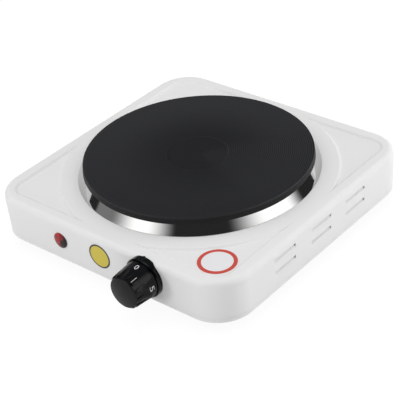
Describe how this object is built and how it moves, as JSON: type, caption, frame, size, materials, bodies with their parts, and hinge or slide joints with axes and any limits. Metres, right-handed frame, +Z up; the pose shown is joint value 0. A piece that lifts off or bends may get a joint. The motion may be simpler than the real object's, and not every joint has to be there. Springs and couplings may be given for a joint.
{
  "type": "hot plate burner",
  "caption": "Portable electric hot plate: round black iron plate with a bright trim ring on a square white body, thermostat knob and pilot lamp in front, louvred sides, on feet.",
  "frame": {"origin": "on the table, under the axis of the round plate and midway between the four feet", "axes": "+Z up, -Y towards the user, out of the front wall with the knob and the lamp, +X to the user's right, the side of the knob"},
  "size_m": [0.2398, 0.2679, 0.0596],
  "materials": {
    "white_enamel": "smooth glossy white stoving enamel",
    "galvanised_steel": "plain galvanised sheet",
    "zinc_steel": "bright zinc plate",
    "foot_rubber": "dull black rubber",
    "black_iron": "black heat-resistant coat, satin, finely turned",
    "stainless_trim": "polished stainless steel",
    "resistance_wire": "dull oxidised wire",
    "insulating_ceramic": "unglazed",
    "brass": "plain",
    "bimetal": "plain rolled strip",
    "contact_silver": "silver contact metal",
    "knob_plastic": "satin black, moulded",
    "gland_plastic": "black, moulded",
    "lens_plastic": "red, see-through, faceted",
    "pale_plastic": "ivory heat-resistant plastic",
    "bulb_glass": "clear glass",
    "resistor_body": "tan lacquer",
    "brown_sleeve": "heat-resistant sleeve, brown",
    "black_sleeve": "heat-resistant sleeve, black",
    "blue_sleeve": "heat-resistant sleeve, blue",
    "earth_sleeve": "heat-resistant sleeve, green and yellow",
    "white_sleeve": "heat-resistant sleeve, white",
    "round_decal_print": "white film with a plain red ring",
    "front_decal_print": "yellow film with a dark edge"
  },
  "bodies": {
    "body": {"housing": "white_enamel", "base_plate": "galvanised_steel", "base_screws": "zinc_steel", "foot_front_left": "foot_rubber", "foot_front_right": "foot_rubber", "foot_rear_left": "foot_rubber", "foot_rear_right": "foot_rubber", "foot_screws": "zinc_steel", "heat_shield": "galvanised_steel", "shield_rivets": "zinc_steel", "hotplate_casting": "black_iron", "trim_ring": "stainless_trim", "heating_coil_inner": "resistance_wire", "heating_coil_outer": "resistance_wire", "ceramic_embedding": "insulating_ceramic", "plate_cover": "galvanised_steel", "cover_screws": "zinc_steel", "plate_terminal_block": "insulating_ceramic", "plate_terminal_live": "zinc_steel", "plate_terminal_neutral": "zinc_steel", "centre_stud": "zinc_steel", "clamp_bridge": "galvanised_steel", "stud_washer": "zinc_steel", "stud_nut": "zinc_steel", "thermostat_frame": "galvanised_steel", "thermostat_screws": "zinc_steel", "spindle_bush": "brass", "bush_nut": "zinc_steel", "stack_insulators": "insulating_ceramic", "stack_rivet": "zinc_steel", "bimetal_strip": "bimetal", "line_terminal": "brass", "load_terminal": "brass", "fixed_contact": "contact_silver", "knob_bezel": "knob_plastic", "lamp_lens": "lens_plastic", "lamp_body": "pale_plastic", "lamp_retaining_clip": "galvanised_steel", "neon_bulb": "bulb_glass", "lamp_resistor": "resistor_body", "cord_gland": "gland_plastic", "terminal_block": "pale_plastic", "terminal_inserts": "brass", "terminal_screws": "zinc_steel", "earth_screw": "brass", "earth_tag": "zinc_steel", "spade_connectors": "zinc_steel", "wire_live": "brown_sleeve", "wire_load": "black_sleeve", "wire_neutral": "blue_sleeve", "wire_earth": "earth_sleeve", "lamp_leads": "white_sleeve", "round_decal": "round_decal_print", "front_decal": "front_decal_print"},
    "knob": {"knob": "knob_plastic", "spindle": "zinc_steel", "knob_spring_clip": "zinc_steel"},
    "push_pin": {"push_pin": "insulating_ceramic"},
    "contact_arm": {"moving_contact_arm": "brass", "moving_contact": "contact_silver"}
  },
  "joints": [
    {"name": "knob_turn", "type": "hinge", "parent": "body", "child": "knob", "pos_m": [0.0452, -0.124, 0.0303], "axis": [0, 1, 0], "range_deg": [0, 270]},
    {"name": "pin_push", "type": "slide", "parent": "body", "child": "push_pin", "axis": [0, 1, 0], "range_m": [0, 0.0006]},
    {"name": "arm_flex", "type": "hinge", "parent": "body", "child": "contact_arm", "pos_m": [0.0618, -0.10296, 0.0303], "axis": [0, 0, -1], "range_deg": [0, 2.3]}
  ],
  "couplings": [
    {"joint": "pin_push", "follows": "knob_turn", "m_per_rad": 0.00012732},
    {"joint": "arm_flex", "follows": "knob_turn", "ratio": 0.008432}
  ]
}
